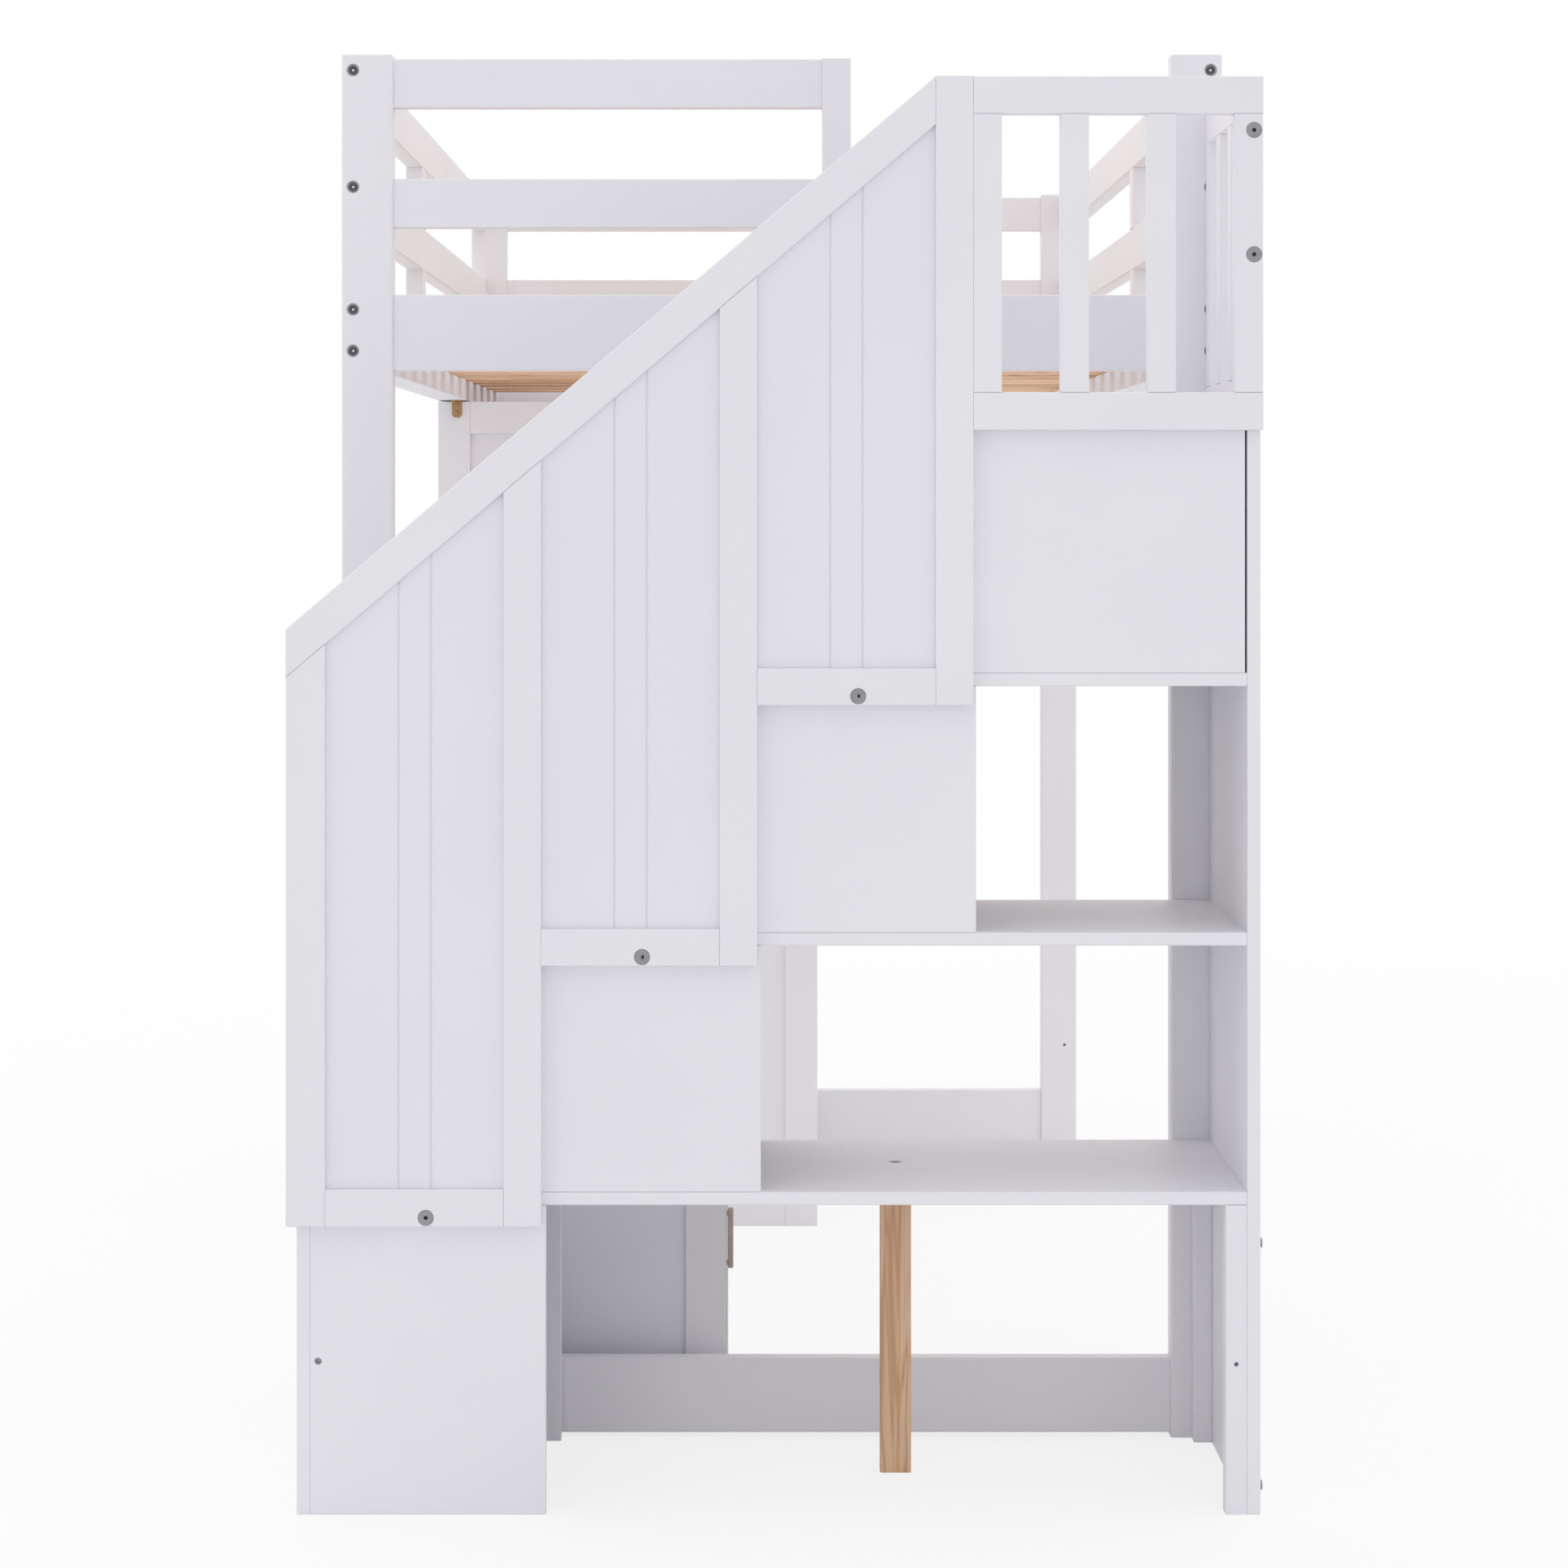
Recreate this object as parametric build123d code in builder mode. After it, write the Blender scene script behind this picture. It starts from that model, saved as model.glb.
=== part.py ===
from build123d import *
import os

# Twin loft bed with a staircase of shelves at its near end, a wardrobe and a low cabinet.
# X runs across the bed, Y along it from the staircase to the far end, Z up.
# The origin is on the floor under the middle of the whole piece. Millimetres.

# Whole piece
overall_width = 1085
bed_length = 1980
bed_width = 1063.5
stair_depth = 325
guard_thickness = 20
board_ease = 2
small_ease = 1

# Bed frame
post_width = 62
post_depth = 32
post_height = 1670
post_round = 3
post_pilot_z = 175.5
post_pilot_inset = 21
end_rail_thickness = 22
end_rail_setback = 5
side_rail_thickness = 24
side_rail_inset = 2
guard_rail_height = 59
guard_top_drop = 5
guard_gap = 86
bed_rail_gap = 81
bed_rail_height = 92
foot_rail_height = 90
foot_rail_z = 5
entry_gap = 386.5
entry_post_width = 34.5
upright_width = 45
upright_offset = 790

# Slats
slat_count = 13
slat_width = 70
slat_thickness = 18
slat_margin = 60
slat_end_gap = 2
ledge_width = 22
ledge_height = 32

# Staircase boxes and shelves
first_rise = 360
step_run = 240
step_count = 4
first_step_inset = 22.5
tread_thickness = 15
tread_nosing = 5
case_board = 15
first_riser_shift = 2
cheek_width = 265
cheek_gap = 2.5
front_leg_size = 24
rear_leg_size = 22
pine_leg_inset = 403.5
pine_leg_width = 36
pine_leg_depth = 20
pine_leg_setback = 170.5
pilot_radius = 4
cheek_pilot = (9, 171)
leg_pilot_z = 167.5
leg_pilot_radius = 2.5
pilot_depth = 10

# Staircase rail with grooved panels
stile_width = 42
stile_overlap = 21
stile_drop = 35
lower_rail_height = 41
slope = 0.851
slope_rail_height = 54
hand_rail_drop = 67.5
bead_setback = 7
bead_thickness = 9
bead_groove_spacing = 36
bead_groove_size = 2.2

# Landing guard
landing_guard_height = 374
guard_rail_width = 42
landing_guard_drop = 19
side_rail_width = 40
baluster_width = 31.5
baluster_count = 4
side_baluster_count = 4

# Wardrobe under the far part of the bed
wardrobe_inset = 4.5
wardrobe_width = 591.5
wardrobe_depth = 694.5
wardrobe_far_gap = 4.5
wardrobe_top_gap = 2
frame_thickness = 20
frame_width = 50
back_thickness = 6
field_thickness = 8
wardrobe_plinth = 60
hat_shelf_drop = 246
shelf_door_gap = 2
rod_radius = 12.5
rod_drop = 45

# Low cabinet behind the near end of the bed
cabinet_inset = 11
cabinet_width = 453
cabinet_near_gap = 33.5
cabinet_depth = 320
cabinet_height = 345
cabinet_plinth = 30
cabinet_pull_z = 170.5

# Doors, their pivots and bar pulls
door_thickness = 18
door_gap = 2.5
door_setback = 21
door_frame_width = 50
door_field_depth = 6
pivot_edge = 8
pivot_face = 5
pin_radius = 2.5
pin_fit = 0.05
pin_reach = 10
pin_depth = 10
pull_spacing = 64
pull_length = 78
pull_width = 10
pull_bar = 7
pull_reach = 28
pull_post_radius = 3.5
pull_edge = 27

# Bolts
shank_radius = 3
head_radius = 5.5
head_height = 3
socket_size = 5
socket_depth = 2
bolt_clearance = 0.3
counterbore_radius = 7.5
counterbore_depth = 3.5
bolt_grip = 40
tip_gap = 2
guard_bolt_drops = (14, 10)
rail_bolt_drop = 18
rail_bolt_rise = 24
cross_bolt_rise = 18
cap_radius = 8.5
cap_height = 2
cheek_grip = 13
stile_grip = 26
panel_bolt_shift = 13
panel_bolt_rise = 10
landing_bolt_drops = (60, 198)
shelf_bolt_grip = 30
leg_grip = 14
leg_bolt_rise = 30
leg_bolt_drop = 44

# Tie bracket between the wardrobe and the bed
bracket_width = 15
bracket_leg = 27
bracket_thickness = 2
bracket_inset = 0.5
bracket_round = 6

# Places along Y
total_length = bed_length + stair_depth + guard_thickness
guard_y = -total_length / 2
stair_y = guard_y + guard_thickness
bed_near_y = stair_y + stair_depth
bed_far_y = bed_near_y + bed_length
rail_near_y = bed_near_y + post_depth
rail_far_y = bed_far_y - post_depth
guard_span = (guard_y, stair_y)
stair_span = (stair_y, bed_near_y)

# Places along X
right_x = (overall_width - head_height) / 2
left_x = right_x - overall_width
bed_left_x = right_x - bed_width
bed_x = (bed_left_x + right_x) / 2
post_inner_x = bed_width / 2 - post_width
rail_outer_x = bed_width / 2 - side_rail_inset
rail_inner_x = rail_outer_x - side_rail_thickness
rail_middle_x = (rail_outer_x + rail_inner_x) / 2
entry_post_x = bed_x + post_inner_x - entry_gap - entry_post_width
first_step_x = left_x + first_step_inset
step_xs = [first_step_x + step_run * number for number in range(step_count)]
panel_x = right_x - case_board
pine_leg_x = panel_x - pine_leg_inset
stile_rights = [x + stile_overlap for x in step_xs]
stile_lefts = [left_x] + [x - stile_width for x in stile_rights[1:]]
top_stile_x = stile_lefts[-1]

# Places along Z
guard_top_z = post_height - guard_top_drop - guard_rail_height
guard_mid_z = guard_top_z - guard_gap - guard_rail_height
bed_rail_z = guard_mid_z - bed_rail_gap - bed_rail_height
hand_rail_z = post_height - hand_rail_drop
step_rise = (hand_rail_z - landing_guard_height - first_rise) / (step_count - 1)
tread_tops = [first_rise + step_rise * number for number in range(step_count)]
tread_floors = [top - tread_thickness for top in tread_tops]
landing_z = tread_tops[-1]
leg_top = tread_floors[0]
leg_bolt_zs = (leg_bolt_rise, leg_top - leg_bolt_drop)
guard_head_z = hand_rail_z - guard_rail_width
guard_foot_z = landing_z - landing_guard_drop
ledge_top_z = bed_rail_z + ledge_height
shank_hole = shank_radius + bolt_clearance
cap_hole = cap_radius + bolt_clearance

# Places of the wardrobe and the cabinet
wardrobe_left_x = bed_left_x + wardrobe_inset
wardrobe_x = (wardrobe_left_x, wardrobe_left_x + wardrobe_width)
wardrobe_near_y = rail_far_y - wardrobe_far_gap - wardrobe_depth
wardrobe_height = bed_rail_z - wardrobe_top_gap
hat_shelf_z = wardrobe_height - hat_shelf_drop
wardrobe_pull_z = (wardrobe_plinth + wardrobe_height) / 2
cabinet_left_x = bed_left_x + cabinet_inset
cabinet_x = (cabinet_left_x, cabinet_left_x + cabinet_width)
cabinet_near_y = rail_near_y + cabinet_near_gap

os.makedirs("parts", exist_ok=True)


def save(piece, label):
    """Write one finished sub-part under its own name."""
    piece.part.label = label
    export_step(piece.part, f"parts/{label}.step")


def board(x_span, y_span, z_span, ease=board_ease):
    """A board between two places on each axis, its long edges eased."""
    lengths = [high - low for low, high in (x_span, y_span, z_span)]
    long_axis = (Axis.X, Axis.Y, Axis.Z)[lengths.index(max(lengths))]
    middle = ((x_span[0] + x_span[1]) / 2, (y_span[0] + y_span[1]) / 2)
    with BuildPart() as piece:
        with BuildSketch(Plane.XY.offset(z_span[0])):
            with Locations(middle):
                Rectangle(lengths[0], lengths[1])
        extrude(amount=lengths[2])
        if ease:
            fillet(piece.edges().filter_by(long_axis), ease)
    return piece


def group(pieces):
    """Several separate boards kept in one sub-part."""
    with BuildPart() as whole:
        for piece in pieces:
            add(piece.part)
    return whole


def near_face(x, z, y):
    """A drilling place that faces the near end."""
    return Plane(origin=(x, y, z), x_dir=(1, 0, 0), z_dir=(0, -1, 0))


def far_face(x, z, y):
    """A drilling place that faces the far end."""
    return Plane(origin=(x, y, z), x_dir=(1, 0, 0), z_dir=(0, 1, 0))


def side_face(x, y, z, side):
    """A drilling place that faces out to one side."""
    return Plane(origin=(x, y, z), x_dir=(0, 1, 0), z_dir=(side, 0, 0))


def level_face(x, y, z, way):
    """A drilling place that faces up or down."""
    return Plane(origin=(x, y, z), x_dir=(1, 0, 0), z_dir=(0, 0, way))


def across(side, distance):
    """A place at a distance from the bed's own middle line."""
    return bed_x + side * distance


def rail_span(side):
    """The thickness of the rails along one side of the bed."""
    return sorted((across(side, rail_inner_x), across(side, rail_outer_x)))


# Bolts along the bed hold the side rails, bolts across it hold the end rails
guard_zs = (guard_top_z, guard_mid_z)
guard_bolt_zs = [z + guard_rail_height - drop for z, drop in zip(guard_zs, guard_bolt_drops)]
rail_bolt_zs = [bed_rail_z + bed_rail_height - rail_bolt_drop, bed_rail_z + rail_bolt_rise]
cross_guard_zs = [z + cross_bolt_rise for z in guard_zs]
cross_rail_zs = [bed_rail_z + bed_rail_height / 2, foot_rail_z + foot_rail_height / 2]


def end_middle_y(end):
    """The middle of the end rails' thickness at one end of the bed."""
    reach = end_rail_setback + end_rail_thickness / 2
    return bed_near_y + reach if end < 0 else bed_far_y - reach


def cross_bolt_zs(side, end):
    """Heights of the bolts across one post, which has no guard rails at the entry."""
    at_entry = side > 0 and end < 0
    return cross_rail_zs if at_entry else cross_guard_zs + cross_rail_zs


def end_places(side, end):
    """Drilling places on the end face of one post."""
    face = near_face if end < 0 else far_face
    y = bed_near_y if end < 0 else bed_far_y
    return [face(across(side, rail_middle_x), z, y) for z in guard_bolt_zs + rail_bolt_zs]


def cross_places(side, end):
    """Drilling places on the outer side face of one post."""
    x = across(side, bed_width / 2)
    return [side_face(x, end_middle_y(end), z, side) for z in cross_bolt_zs(side, end)]


def corner_post(side, end):
    """One corner post, counterbored for the bolts that hold the rails."""
    centre_x = across(side, bed_width / 2 - post_width / 2)
    centre_y = bed_near_y + post_depth / 2 if end < 0 else bed_far_y - post_depth / 2
    with BuildPart() as post:
        with BuildSketch():
            with Locations((centre_x, centre_y)):
                Rectangle(post_width, post_depth)
        extrude(amount=post_height)
        fillet(post.edges().filter_by(Axis.Z), post_round)
        fillet(post.faces().sort_by(Axis.Z)[-1].edges(), board_ease)
        with Locations(*end_places(side, end)):
            CounterBoreHole(shank_hole, counterbore_radius, counterbore_depth, post_depth)
        with Locations(*cross_places(side, end)):
            CounterBoreHole(shank_hole, counterbore_radius, counterbore_depth, post_width)
        if side > 0 and end > 0:
            with Locations(near_face(right_x - post_pilot_inset, post_pilot_z, rail_far_y)):
                Hole(leg_pilot_radius, pilot_depth)
    return post


def end_rail(x_span, end, z, height, bolt_z, sides):
    """A rail across the bed, bored in the ends that meet a post."""
    middle_y = end_middle_y(end)
    y_span = (middle_y - end_rail_thickness / 2, middle_y + end_rail_thickness / 2)
    with BuildPart() as rail:
        add(board(x_span, y_span, (z, z + height)).part)
        for side in sides:
            end_x = x_span[0] if side < 0 else x_span[1]
            with Locations(side_face(end_x, middle_y, bolt_z, side)):
                Hole(shank_hole, bolt_grip)
    return rail


def long_rail(side, z, height, bolt_zs):
    """A rail along the bed, bored in both ends."""
    middle_x = across(side, rail_middle_x)
    with BuildPart() as rail:
        add(board(rail_span(side), (rail_near_y, rail_far_y), (z, z + height)).part)
        for bolt_z in bolt_zs:
            ends = (near_face(middle_x, bolt_z, rail_near_y), far_face(middle_x, bolt_z, rail_far_y))
            with Locations(*ends):
                Hole(shank_hole, bolt_grip)
    return rail


# Corner posts
for end_name, end in (("near", -1), ("far", 1)):
    for side_name, side in (("left", -1), ("right", 1)):
        save(corner_post(side, end), f"post_{end_name}_{side_name}")

# End rails; the near guard rails stop at the entry post
full_span = (across(-1, post_inner_x), across(1, post_inner_x))
entry_span = (full_span[0], entry_post_x)
for end_name, end, guard_x_span, sides in (
    ("near", -1, entry_span, (-1,)),
    ("far", 1, full_span, (-1, 1)),
):
    guard_rails = [
        end_rail(guard_x_span, end, z, guard_rail_height, bolt_z, sides)
        for z, bolt_z in zip(guard_zs, cross_guard_zs)
    ]
    save(group(guard_rails), f"{end_name}_guard_rails")
    bed_rail = end_rail(full_span, end, bed_rail_z, bed_rail_height, cross_rail_zs[0], (-1, 1))
    save(bed_rail, f"{end_name}_end_rail")
    foot_rail = end_rail(full_span, end, foot_rail_z, foot_rail_height, cross_rail_zs[1], (-1, 1))
    save(foot_rail, f"{end_name}_foot_rail")
entry_x = (entry_post_x, entry_post_x + entry_post_width)
entry_z = (bed_rail_z + bed_rail_height, guard_top_z + guard_rail_height)
save(board(entry_x, (bed_near_y, rail_near_y), entry_z), "entry_post")

# Side rails and side guards, with a short block above each rail
block_y = bed_near_y + upright_offset
block_span = (block_y - upright_width / 2, block_y + upright_width / 2)
block_zs = (
    (bed_rail_z + bed_rail_height, guard_mid_z),
    (guard_mid_z + guard_rail_height, guard_top_z),
)
blocks = []
for side_name, side in (("left", -1), ("right", 1)):
    save(long_rail(side, bed_rail_z, bed_rail_height, rail_bolt_zs), f"side_rail_{side_name}")
    guards = [
        long_rail(side, z, guard_rail_height, [bolt_z]) for z, bolt_z in zip(guard_zs, guard_bolt_zs)
    ]
    save(group(guards), f"side_guards_{side_name}")
    blocks += [board(rail_span(side), block_span, z_span, small_ease) for z_span in block_zs]
save(group(blocks), "guard_uprights")

# Ledges and slats
ledge_inner_x = rail_inner_x - ledge_width
ledges = []
for side in (-1, 1):
    ledge_x = sorted((across(side, ledge_inner_x), across(side, rail_inner_x)))
    ledges.append(board(ledge_x, (rail_near_y, rail_far_y), (bed_rail_z, ledge_top_z), small_ease))
save(group(ledges), "slat_ledges")
slat_space = rail_far_y - rail_near_y - 2 * slat_margin - slat_width
with BuildPart() as slats:
    with BuildSketch(Plane.XY.offset(ledge_top_z)):
        with Locations((bed_x, (rail_near_y + rail_far_y) / 2)):
            with GridLocations(1, slat_space / (slat_count - 1), 1, slat_count):
                Rectangle(2 * (rail_inner_x - slat_end_gap), slat_width)
    extrude(amount=slat_thickness)
    fillet(slats.edges().filter_by(Axis.X), board_ease)
save(slats, "bed_slats")

# Risers, the first one on the floor
riser_rights = [step_xs[0] + first_riser_shift] + step_xs[1:]
riser_zs = [(0, leg_top)] + list(zip(tread_tops[:-1], tread_floors[1:]))
risers = [
    board((x - case_board, x), stair_span, z_span, small_ease)
    for x, z_span in zip(riser_rights, riser_zs)
]
save(group(risers), "risers")

# Cheeks that close the near and far sides of each step box
cheek_rights = [x + cheek_width for x in step_xs[:-1]] + [panel_x - cheek_gap]
bay_spans = list(zip(stile_rights[:-1], stile_lefts[1:]))
panel_bolts = [
    ((low + high) / 2 + panel_bolt_shift, top - stile_drop + panel_bolt_rise)
    for (low, high), top in zip(bay_spans, tread_tops)
]
front_cheeks = []
rear_cheeks = []
for number, (low, high, z_span) in enumerate(zip(riser_rights, cheek_rights, riser_zs)):
    with BuildPart() as cheek:
        add(board((low, high), (stair_y, stair_y + case_board), z_span, small_ease).part)
        if number < len(panel_bolts):
            with Locations(near_face(*panel_bolts[number], stair_y)):
                Hole(shank_hole, case_board)
        if number == 0:
            with Locations(near_face(low + cheek_pilot[0], cheek_pilot[1], stair_y)):
                Hole(pilot_radius, case_board)
    front_cheeks.append(cheek)
    rear_cheeks.append(
        board((low, high), (bed_near_y - case_board, bed_near_y), z_span, small_ease)
    )
save(group(front_cheeks), "front_cheeks")
save(group(rear_cheeks), "rear_cheeks")

# Treads, each running on as a shelf to the side panel
pine_leg_middle = (pine_leg_x + pine_leg_width / 2, stair_y + pine_leg_setback + pine_leg_depth / 2)
for number, riser_right in enumerate(riser_rights[:-1]):
    tread_x = (max(left_x, riser_right - case_board - tread_nosing), panel_x)
    z_span = (tread_floors[number], tread_tops[number])
    with BuildPart() as tread:
        add(board(tread_x, stair_span, z_span).part)
        if number == 0:
            with Locations(level_face(*pine_leg_middle, tread_tops[0], 1)):
                CounterBoreHole(shank_hole, counterbore_radius, counterbore_depth, tread_thickness)
    save(tread, f"tread_{number + 1}")
landing_x = (riser_rights[-1] - case_board - tread_nosing, right_x)
save(board(landing_x, stair_span, (tread_floors[-1], landing_z)), "landing_board")

# Side panel and the legs that it is bolted to
leg_ys = (
    (stair_y, stair_y + front_leg_size),
    (bed_near_y - rear_leg_size, bed_near_y),
)
leg_bolts = [(sum(y_span) / 2, z) for y_span in leg_ys for z in leg_bolt_zs]
with BuildPart() as side_panel:
    add(board((panel_x, right_x), stair_span, (0, tread_floors[-1]), small_ease).part)
    with Locations(*[side_face(right_x, y, z, 1) for y, z in leg_bolts]):
        Hole(shank_hole, case_board)
save(side_panel, "stair_side_panel")
legs = []
for y_span, size in zip(leg_ys, (front_leg_size, rear_leg_size)):
    with BuildPart() as leg:
        add(board((panel_x - size, panel_x), y_span, (0, leg_top), small_ease).part)
        with Locations(*[side_face(panel_x, sum(y_span) / 2, z, 1) for z in leg_bolt_zs]):
            Hole(shank_hole, leg_grip + tip_gap)
        if y_span[0] == stair_y:
            with Locations(near_face(panel_x - size / 2, leg_pilot_z, stair_y)):
                Hole(leg_pilot_radius, pilot_depth)
    legs.append(leg)
save(group(legs), "shelf_legs")
pine_leg_y = (stair_y + pine_leg_setback, stair_y + pine_leg_setback + pine_leg_depth)
with BuildPart() as pine_leg:
    add(board((pine_leg_x, pine_leg_x + pine_leg_width), pine_leg_y, (0, leg_top)).part)
    with Locations(level_face(*pine_leg_middle, leg_top, 1)):
        Hole(shank_hole, shelf_bolt_grip)
save(pine_leg, "pine_leg")


def slope_z(x, drop=0):
    """Height of the sloped rail's upper edge at x, less a drop."""
    return hand_rail_z - slope * (top_stile_x - x) - drop


def sloped_board(x_span, low_z, y_span):
    """A board whose upper end meets the underside of the sloped rail."""
    with BuildPart() as piece:
        with BuildSketch(Plane.XZ.offset(-y_span[1])):
            with BuildLine():
                Polyline(
                    (x_span[0], low_z),
                    (x_span[1], low_z),
                    (x_span[1], slope_z(x_span[1], slope_rail_height)),
                    (x_span[0], slope_z(x_span[0], slope_rail_height)),
                    close=True,
                )
            make_face()
        extrude(amount=y_span[1] - y_span[0])
    return piece


# Stiles of the staircase rail; the last one rises to the landing guard's height
stile_feet = [tread_tops[0] - stile_drop] + [top - stile_drop for top in tread_tops[:-1]]
stiles = []
for low, high, foot_z in zip(stile_lefts[:-1], stile_rights[:-1], stile_feet[:-1]):
    with BuildPart() as stile:
        add(sloped_board((low, high), foot_z, guard_span).part)
        fillet(stile.edges().filter_by(Axis.Z), small_ease)
    stiles.append(stile)
top_stile_span = (top_stile_x, stile_rights[-1])
stiles.append(board(top_stile_span, guard_span, (stile_feet[-1], hand_rail_z), small_ease))
save(group(stiles), "rail_stiles")

# Sloped hand rail
with BuildPart() as slope_rail:
    with BuildSketch(Plane.XZ.offset(-stair_y)):
        with BuildLine():
            Polyline(
                (left_x, slope_z(left_x, slope_rail_height)),
                (top_stile_x, slope_z(top_stile_x, slope_rail_height)),
                (top_stile_x, slope_z(top_stile_x)),
                (left_x, slope_z(left_x)),
                close=True,
            )
        make_face()
    extrude(amount=guard_thickness)
    fillet(slope_rail.edges().filter_by(lambda edge: edge.length > top_stile_x - left_x), board_ease)
save(slope_rail, "slope_rail")

# Lower rails and grooved panels of the three bays
bead_y = (guard_y + bead_setback, guard_y + bead_setback + bead_thickness)
lower_rails = []
bead_panels = []
for (low, high), top, bolt_place in zip(bay_spans, tread_tops, panel_bolts):
    foot_z = top - stile_drop
    panel_z = foot_z + lower_rail_height
    with BuildPart() as lower_rail:
        add(board((low, high), guard_span, (foot_z, panel_z), small_ease).part)
        with Locations(near_face(*bolt_place, guard_y)):
            CounterBoreHole(shank_hole, cap_hole, cap_height, guard_thickness)
    lower_rails.append(lower_rail)
    with BuildPart() as bead_panel:
        add(sloped_board((low, high), panel_z, bead_y).part)
        with BuildSketch(Plane.XY.offset(panel_z)):
            with Locations(((low + high) / 2, bead_y[0])):
                with GridLocations(bead_groove_spacing, 1, 2, 1):
                    Rectangle(bead_groove_size, bead_groove_size, rotation=45)
        extrude(amount=slope_z(high) - panel_z, mode=Mode.SUBTRACT)
    bead_panels.append(bead_panel)
save(group(lower_rails), "lower_rails")
save(group(bead_panels), "bead_panels")

# Landing guard along the near side
landing_guard_x = (stile_rights[-1], right_x)
baluster_z = (guard_foot_z + guard_rail_width, guard_head_z)
landing_rails = [
    board(landing_guard_x, guard_span, (guard_head_z, hand_rail_z)),
    board(landing_guard_x, guard_span, (guard_foot_z, guard_foot_z + guard_rail_width)),
]
save(group(landing_rails), "landing_rails")
side_guard_x = (right_x - guard_thickness, right_x)
landing_bolt_x = sum(side_guard_x) / 2
landing_bolt_zs = [hand_rail_z - drop for drop in landing_bolt_drops]
baluster_pitch = (landing_guard_x[1] - landing_guard_x[0] - baluster_width) / (baluster_count - 1)
balusters = []
for number in range(baluster_count):
    low = landing_guard_x[0] + number * baluster_pitch
    with BuildPart() as baluster:
        add(board((low, low + baluster_width), guard_span, baluster_z, small_ease).part)
        if number == baluster_count - 1:
            with Locations(*[near_face(landing_bolt_x, z, guard_y) for z in landing_bolt_zs]):
                CounterBoreHole(shank_hole, cap_hole, cap_height, guard_thickness)
    balusters.append(baluster)
save(group(balusters), "landing_balusters")

# Landing guard along the right side, from the near guard to the bed
side_baluster_z = (landing_z + side_rail_width, guard_head_z)
side_guard_rails = [
    board(side_guard_x, stair_span, (guard_head_z, hand_rail_z)),
    board(side_guard_x, stair_span, (landing_z, side_baluster_z[0])),
]
save(group(side_guard_rails), "landing_side_rails")
side_baluster_pitch = (stair_depth - baluster_width) / (side_baluster_count - 1)
side_balusters = []
for number in range(side_baluster_count):
    low = stair_y + number * side_baluster_pitch
    with BuildPart() as baluster:
        add(board(side_guard_x, (low, low + baluster_width), side_baluster_z, small_ease).part)
        if number == 0:
            with Locations(*[near_face(landing_bolt_x, z, stair_y) for z in landing_bolt_zs]):
                Hole(shank_hole, stile_grip + tip_gap)
    side_balusters.append(baluster)
save(group(side_balusters), "landing_side_balusters")


def bar_pull(face_x, y, z):
    """A bar on two round posts, standing on a door's face."""
    bar_x = face_x + pull_reach - pull_bar / 2
    with BuildPart() as pull:
        with BuildSketch(Plane.XZ.offset(-y)):
            with Locations((bar_x, z)):
                Rectangle(pull_bar, pull_length)
        extrude(amount=pull_width / 2, both=True)
        fillet(pull.edges(), board_ease)
        with BuildSketch(Plane.YZ.offset(face_x)):
            with Locations((y, z)):
                with GridLocations(1, pull_spacing, 1, 2):
                    Circle(pull_post_radius)
        extrude(amount=pull_reach - pull_bar / 2)
    return pull


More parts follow.
